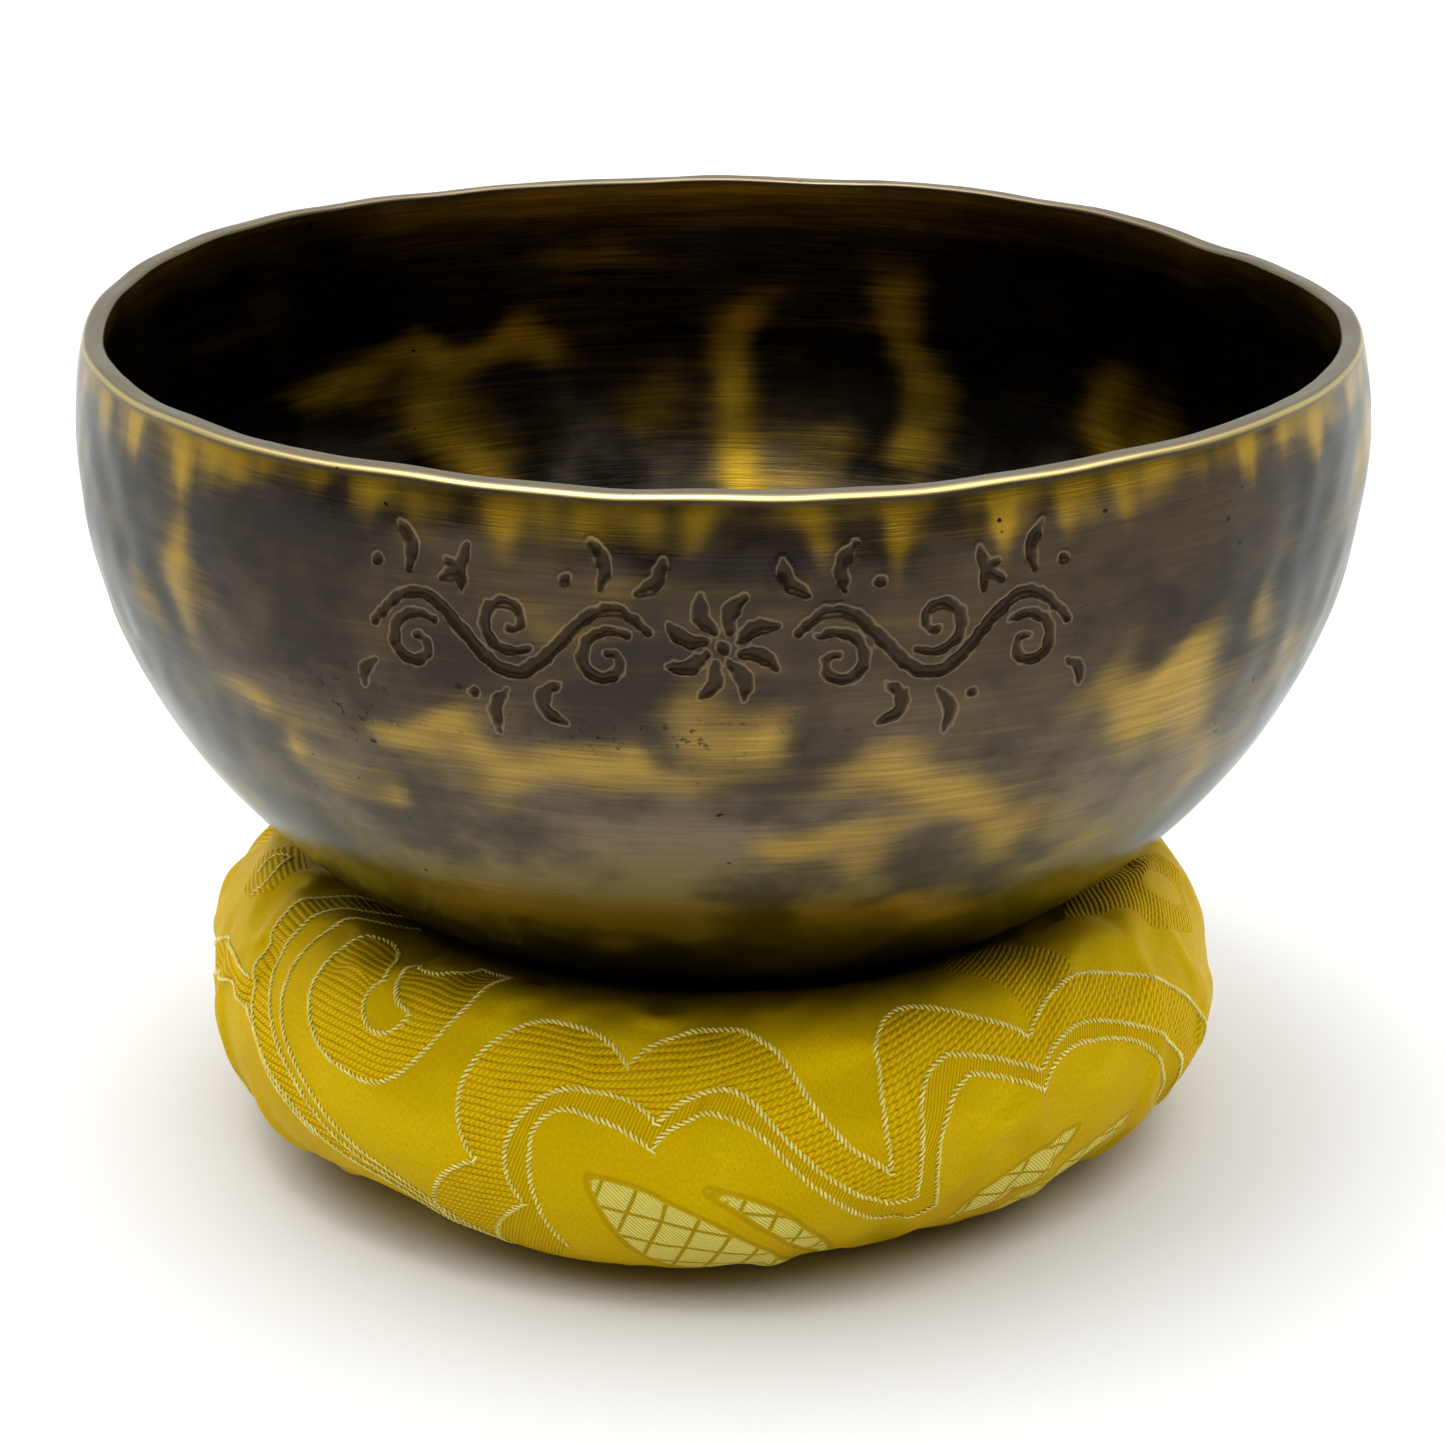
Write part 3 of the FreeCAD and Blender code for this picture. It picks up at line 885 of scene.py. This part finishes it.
class Cloth:
    """The finished cover as a surface: places and directions on it by turn and distance from the crest."""

    def __init__(self, place, turns, rows, around):
        self.place = place
        self.turns = turns
        self.rows = np.append(rows, rows[0] + around)
        self.around = around

    def point(self, u, v):
        columns = len(self.turns)
        across = (np.radians(u / PATTERN_REACH) - self.turns[0]) % TAU / TAU * columns
        left = np.floor(across).astype(int)
        part = (across - left)[:, None]
        v = (v - self.rows[0]) % self.around + self.rows[0]
        low = np.clip(np.searchsorted(self.rows, v, side="right") - 1, 0, len(self.rows) - 2)
        rise = ((v - self.rows[low]) / (self.rows[low + 1] - self.rows[low]))[:, None]
        high = (low + 1) % (len(self.rows) - 1)
        left, right = left % columns, (left + 1) % columns
        lower = self.place[low, left] * (1 - part) + self.place[low, right] * part
        upper = self.place[high, left] * (1 - part) + self.place[high, right] * part
        return lower * (1 - rise) + upper * rise

    def frame(self, u, v):
        """Point, direction around, direction along, and outward normal."""
        gap = 0.6
        around = unit(self.point(u + gap, v) - self.point(u - gap, v))
        along = unit(self.point(u, v + gap) - self.point(u, v - gap))
        return self.point(u, v), around, along, unit(np.cross(along, around))


# ---- brocade pattern
# Points are (u, v): mm around the girth from the front's middle, and mm down from the crest. The third
# number is the bulge of the arc to the next point: 0 straight, 1 a half circle, positive outward.

CLOUD_OUTER = [
    (-37, 64, 0), (-38, 40, .3), (-30, 28, 1.0), (-11, 12.5, .53), (10, 13.5, -.12), (22.7, 28, .05),
    (21.5, 12, .4), (28, 7.7, .1), (45, 15.2, .3), (60, 10.5, .14), (87, 29.5, .1), (92, 42, 0), (92, 64, 0)]
CLOUD_MIDDLE = [
    (-31, 64, 0), (-30, 44, .2), (-23.6, 33.5, .98), (-6.6, 19.7, .53), (6, 17.8, -.05), (18.7, 30.8, -.2),
    (26.5, 32.5, 0), (26.5, 21, .35), (31.5, 14.6, .1), (45.6, 20, .3), (58, 17, .12), (77, 29.7, .1),
    (84, 64, 0)]
CLOUD_INNER = [
    (-18.5, 40, .18), (-22.5, 24.5, .5), (-16.5, 19, .15), (-7, 23.3, .4), (1, 18.5, .18), (8.5, 23.5, -.03),
    (21, 36, -.3), (30, 36, 0), (29, 25.8, .3), (34.5, 17.5, .1), (45.6, 22.8, .35), (56, 19.2, .2),
    (69, 27, .2), (76, 38, .1), (80, 64, 0)]
HOOK = [
    (-61.5, 3.5, .55), (-51, 8, -1.3), (-43.5, 11, .5), (-49, 3, -.35), (-43, 4.5, -.2), (-40, .5, 0),
    (-34, 1, .14), (-41.5, 18.5, .25), (-50, 21.2, .25), (-60.5, 15.5, .3), (-61.5, 3.5, 0)]
WAVE_OUTER = [(-74, -7), (-79, 1), (-78, 11), (-71, 22), (-59, 31), (-43, 39), (-32, 50)]
WAVE_MIDDLE = [(-68, -6), (-73, 3), (-72.5, 13), (-66, 21), (-55, 30), (-41, 38), (-30, 48)]
WAVE_INNER = [(-62, -5), (-68, 3), (-69, 10), (-64.5, 19.5), (-54, 28.5), (-40, 37), (-29, 46)]
RIBBON_UPPER = [(-106, 26), (-95, 19.5), (-87, 17.5), (-76, 17)]
RIBBON_LOWER = [(-104, 32), (-94, 24.5), (-86, 21.5), (-79, 20.5), (-72, 22), (-65, 28), (-57, 33)]
CORNER = [(-94, 12, 0), (-90, 8.5, -.1), (-91.5, 2, 0), (-103, 2.5, .1), (-105, 10, .2), (-100, 13.5, .1),
          (-94, 12, 0)]
CORNER_LOOP = [(-94, 11.5), (-93, 8), (-95, 5.5), (-98, 4), (-100, 6.5), (-98.5, 9.5)]
PETAL = [(66, 0), (72, 3), (78, 6.5), (80, 11), (86, 14.5), (93, 17), (98, 14), (104, 9), (100, 4), (88, 0),
         (76, -4)]
PETAL_HOLE = [(86.5, 6, .35), (94, 7, .5), (96, 13.5, .35), (89, 10, .4), (86.5, 6, 0)]
FAN = [(46, 15), (44, 8), (38, 2), (33, -3), (44, -6), (54, 1), (57, 8), (46, 15)]
FIELD_REACH = 6.0               # distances from the figures' outlines are known this far
LEAVES = [[(-15, 27.5, .3), (14, 52, .3), (-15, 27.5, 0)], [(0, 28, .35), (17, 48, -.12), (0, 28, 0)],
          [(35, 44, .28), (53, 31, .28), (35, 44, 0)], [(44, 50, .3), (66, 34, .25), (44, 50, 0)],
          [(-96, 30, .35), (-76, 44, .3), (-96, 30, 0)]]


def arc_path(knots, step=0.35):
    """Points along straight runs and arcs from knots (u, v, bulge)."""
    points = []
    for (u0, v0, bulge), (u1, v1, _) in zip(knots, knots[1:]):
        chord = math.hypot(u1 - u0, v1 - v0)
        count = max(2, int(chord * (1 + bulge * bulge) / step))
        t = np.arange(count) / count
        if abs(bulge) < 0.01:
            ahead, aside = t, 0 * t
        else:
            half = 2 * math.atan(bulge)
            angle = half * (2 * t - 1)
            ahead = 0.5 + np.sin(angle) / (2 * math.sin(half))
            aside = (np.cos(angle) - math.cos(half)) / (2 * math.sin(half))
        points.append(np.column_stack([u0 + (u1 - u0) * ahead + (v1 - v0) * aside,
                                       v0 + (v1 - v0) * ahead - (u1 - u0) * aside]))
    points.append(np.array([knots[-1][:2]], float))
    return np.concatenate(points)


def curve_path(points):
    """Points along a smooth curve through knots (u, v)."""
    return swept(points, 0.0)[::3, :2]


def inside_distance(outline, u, v):
    """Distance from a closed outline, positive inside it."""
    nearest = np.full(u.shape, -FIELD_REACH)
    low, high = outline.min(0) - 3, outline.max(0) + 3
    near = np.where((u > low[0]) & (u < high[0]) & (v > low[1]) & (v < high[1]))
    pu, pv = u[near], v[near]
    a, b = outline, np.roll(outline, -1, axis=0)
    run = b - a
    length = np.maximum((run ** 2).sum(1), 1e-9)
    t = ((pu[:, None] - a[:, 0]) * run[:, 0] + (pv[:, None] - a[:, 1]) * run[:, 1]) / length
    t = np.clip(t, 0, 1)
    away = np.hypot(pu[:, None] - a[:, 0] - t * run[:, 0], pv[:, None] - a[:, 1] - t * run[:, 1]).min(1)
    crosses = (a[:, 1] > pv[:, None]) != (b[:, 1] > pv[:, None])
    slope = run[:, 0] / np.where(np.abs(run[:, 1]) < 1e-9, 1e-9, run[:, 1])
    left = pu[:, None] < a[:, 0] + (pv[:, None] - a[:, 1]) * slope
    odd = (crosses & left).sum(1) % 2 == 1
    nearest[near] = np.clip(np.where(odd, away, -away), -FIELD_REACH, FIELD_REACH)
    return nearest


def brocade_fields(u, v):
    """Distances into the ribbed areas, the striped border and the pale leaves, positive inside."""
    outer, middle, inner, hook, corner, petal_hole, *leafy = (
        arc_path(k, 0.8) for k in (CLOUD_OUTER, CLOUD_MIDDLE, CLOUD_INNER, HOOK, CORNER, PETAL_HOLE, *LEAVES))
    wave_outer, wave_middle, ribbon_upper, ribbon_lower, petal, fan = (
        curve_path(p)[::2] for p in (WAVE_OUTER, WAVE_MIDDLE, RIBBON_UPPER, RIBBON_LOWER, PETAL, FAN))
    bands = ((outer, middle), (wave_outer, wave_middle), (ribbon_upper, ribbon_lower), (middle, inner))
    cloud, wave, ribbon, border = (np.concatenate([one, two[::-1]]) for one, two in bands)
    ribbed, striped = [cloud, hook, corner, wave, ribbon, petal, fan], [border]
    fields = []
    for group in (ribbed, striped, leafy):
        field = np.full(u.shape, -FIELD_REACH)
        for shift in (-PATTERN_REPEAT, 0, PATTERN_REPEAT):
            for outline in group:
                field = np.maximum(field, inside_distance(outline, u - shift, v))
        fields.append(field)
    for shift in (0, PATTERN_REPEAT):
        fields[0] = np.minimum(fields[0], -inside_distance(petal_hole, u - shift, v))
    return fields


def rib_climb(u):
    """How far the ribs have risen at u: level on the left, steep on the right."""
    return np.where(u < -20, 0, np.where(u < 45, 0.0045 * (u + 20) ** 2, 19.0 + 0.6 * (u - 45)))


def thread_stitches(cloth, name, paths, pitch, length, wide, slant, lift):
    """Short slanted threads laid side by side along the paths, as an embroidered cord."""
    centres, headings = [], []
    for path in paths:
        run = distances(path)
        at = np.arange(pitch / 2, run[-1], pitch)
        u, v = np.interp(at, run, path[:, 0]), np.interp(at, run, path[:, 1])
        du, dv = (np.interp(at + 0.4, run, path[:, k]) - np.interp(at - 0.4, run, path[:, k]) for k in (0, 1))
        centres.append(np.column_stack([u, v]))
        headings.append(np.arctan2(dv, du))
    centres, headings = np.concatenate(centres), np.concatenate(headings)
    rng = np.random.default_rng(41)
    count = len(centres)
    headings = headings + np.radians(slant) + rng.normal(0, 0.09, count)
    lengths = length * rng.uniform(0.85, 1.12, count)
    shares = np.array([-0.5, -0.3, 0.0, 0.3, 0.5])
    widths = np.array([0.25, 0.9, 1.0, 0.9, 0.25]) * wide / 2
    heights = np.array([-0.10, 0.55, 1.0, 0.55, -0.10]) * lift
    corners = np.radians([0, 60, 120, 180, 270])
    rings = []
    for share, half, height in zip(shares, widths, heights):
        u = centres[:, 0] + share * lengths * np.cos(headings)
        v = centres[:, 1] + share * lengths * np.sin(headings)
        point, around, along, normal = cloth.frame(u, v)
        side = -np.sin(headings)[:, None] * around + np.cos(headings)[:, None] * along
        ring = [point + side * half * math.cos(c) + normal * (height + half * 0.8 * math.sin(c))
                for c in corners]
        rings.append(np.stack(ring, axis=1))
    points = np.stack(rings, axis=1)
    size, ends = len(corners), len(corners) * len(shares)
    faces = []
    for base in range(0, count * ends, ends):
        for row in range(base, base + ends - size, size):
            for c in range(size):
                d = (c + 1) % size
                faces.append((row + c, row + size + c, row + size + d, row + d))
        faces.append(range(base, base + size))
        faces.append(range(base + ends - 1, base + ends - size - 1, -1))
    points[..., 2] = np.maximum(points[..., 2], 0.0)
    piece = build_mesh(name, points.reshape(-1, 3) * MM, faces)
    add_layer(piece, "tone", np.repeat(rng.uniform(0, 1, count), ends))
    return piece


def brocade():
    """Satin brocade: a smooth ground, ribbed and striped figures, and pale leaves with a lattice."""
    m = Shader(bpy.data.materials.new("satin_brocade"))
    cloth = m.vector("cloth")
    u, v, rib = m.split(cloth)
    flat = m.scaled(cloth, (1, 1, 0))
    grain = m.noise(flat, (5, 1.6, 0), 2, 0.6)
    slub = m.noise(flat, (0.25, 2.2, 0), 3, 0.6)
    mottle = m.noise(flat, (0.06, 0.06, 0), 3, 0.5)
    ground = m.mix(m.ramp(mottle, 0.35, 0.65), (0.62, 0.41, 0.001), (0.69, 0.475, 0.001))
    ground = m.mix(m.ramp(grain, 0.3, 0.7, 0, 0.6), ground, (0.46, 0.29, 0.001))
    # ribs: rows of short floats, with a dark dotted line between two rows
    rows = m.wave(rib, 0.98)
    dots = m.wave(m.plus(u, m.times(v, 0.7)), 0.74)
    dark_row = m.times(m.ramp(rows, -0.3, -0.9), m.ramp(dots, -0.7, 0.4, 0.2, 1))
    dark_row = m.times(dark_row, m.ramp(slub, 0.35, 0.6, 1, 0.55))
    floats = m.mix(m.ramp(dots, -0.6, 0.6), (0.6, 0.375, 0.002), (0.8, 0.54, 0.003))
    rib_colour = m.mix(dark_row, floats, (0.26, 0.145, 0.001))
    in_ribs = m.ramp(m.number("ribbed"), -0.15, 0.15)
    # stripes: fine upright floats
    leaning = m.plus(u, m.times(v, 0.35))
    upright = m.wave(leaning, 0.5)
    stripe_colour = m.mix(m.ramp(upright, -0.7, 0.5), (0.5, 0.315, 0.001), (0.68, 0.46, 0.002))
    in_stripes = m.ramp(m.number("striped"), -0.1, 0.1)
    # leaves: cream floats tied down by a lattice, with an ochre margin
    one = m.wave(leaning, 4.6)
    two = m.wave(m.minus(v, m.times(u, 0.22)), 4.2)
    lattice = m.larger(m.ramp(one, 0.9, 0.97), m.ramp(two, 0.9, 0.97))
    slanted = m.wave(m.minus(u, m.times(v, 0.9)), 0.55)
    cream = m.mix(m.ramp(slanted, -0.7, 0.7), (0.6, 0.5, 0.07), (0.85, 0.75, 0.19))
    cream = m.mix(lattice, cream, (0.45, 0.31, 0.004))
    in_leaf = m.ramp(m.number("leafy"), -0.1, 0.15)
    margin = m.ramp(m.math("ABSOLUTE", m.plus(m.number("leafy"), 0.5)), 0.5, 0.2, 0, 0.45)
    colour = m.mix(in_ribs, ground, rib_colour)
    colour = m.mix(in_stripes, colour, stripe_colour)
    colour = m.mix(margin, colour, (0.34, 0.2, 0.002))
    colour = m.mix(in_leaf, colour, cream)
    # painted shade of the bowl around the seat
    colour = m.mix(m.number("painted_seat_shade"), colour, (0.12, 0.08, 0.001))
    figure = m.larger(in_ribs, m.larger(in_stripes, in_leaf))
    rib_height = m.times(in_ribs, m.plus(rows, m.times(dots, 0.3)))
    stripe_height = m.times(in_stripes, m.times(upright, 0.5))
    leaf_height = m.times(in_leaf, m.minus(m.times(slanted, 0.4), lattice))
    raised = m.plus(m.plus(rib_height, stripe_height), m.plus(leaf_height, figure))
    weave = m.plus(m.times(grain, 0.6), m.times(slub, 0.5))
    normal = m.bump(weave, 0.00008, 0.5, m.bump(raised, 0.00012, 0.8))
    rough = m.ramp(figure, 0, 1, 0.46, 0.62)
    return m.finish(Base_Color=colour, Roughness=rough, Metallic=0.22, Specular_IOR_Level=0.04,
                    Specular_Tint=(1, 0.8, 0.1), Normal=normal)


def thread(name, colour, shade):
    """Thread whose colour differs a little from stitch to stitch."""
    m = Shader(bpy.data.materials.new(name))
    tone = m.number("tone")
    return m.finish(Base_Color=m.mix(tone, colour, shade), Roughness=0.55, Sheen_Weight=0.1,
                    Specular_IOR_Level=0.35)


def whip_stitches(cloth, name, places, length):
    """Separate overcast stitches across a seam, each a short arch of thread."""
    paths = []
    for u, v, a in places:
        half = np.array([math.cos(a), math.sin(a)]) * length / 2
        paths.append(np.array([(u, v) - half, (u, v) + half]))
    return thread_stitches(cloth, name, paths, length, length * 1.05, SEWING_WIDTH, 0, 0.75)


# ---- making everything

make_camera()
make_floor()
make_key_light()
make_surroundings()

bowl = make_bowl()
bowl.data.materials.append(bronze())
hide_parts("bowl")
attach(bowl, "bowl")

cushion, cloth, hem = make_cushion()
cushion.data.materials.append(brocade())
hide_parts("brocade_cover", "filling_ring")
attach(cushion, "cushion")

cords = [arc_path(k) for k in (CLOUD_OUTER, CLOUD_MIDDLE, CLOUD_INNER, HOOK)]
cords += [curve_path(p) for p in (WAVE_OUTER, WAVE_MIDDLE, WAVE_INNER)]
cords += [curve_path(p) for p in (RIBBON_UPPER, RIBBON_LOWER, CORNER_LOOP)]
cords += [path + (PATTERN_REPEAT, 0) for path in cords]
outlines = thread_stitches(cloth, "brocade_outlines", cords, **CORD)
outlines.data.materials.append(thread("pale_floss", (0.73, 0.62, 0.09), (0.93, 0.83, 0.25)))
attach(outlines, "cushion")

hem_places = [((k + 0.5) * PATTERN_GIRTH / HEM_STITCHES, hem, math.radians(65)) for k in range(HEM_STITCHES)]
end_places = [(END_SEAM_TURN * PATTERN_REACH, END_STITCH_START + END_STITCH_PITCH * k, math.radians(20))
              for k in range(END_STITCHES)]
for name, places, length, thread_name, node in (
        ("hem_stitches_sewn", hem_places, HEM_STITCH_LENGTH, "hem_thread", "hem_stitches"),
        ("end_seam_sewn", end_places, END_STITCH_LENGTH, "end_seam_thread", "end_seam_stitches")):
    sewing = whip_stitches(cloth, name, places, length)
    sewing.data.materials.append(thread(thread_name, (0.5, 0.36, 0.02), (0.58, 0.44, 0.04)))
    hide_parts(node)
    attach(sewing, "cushion")
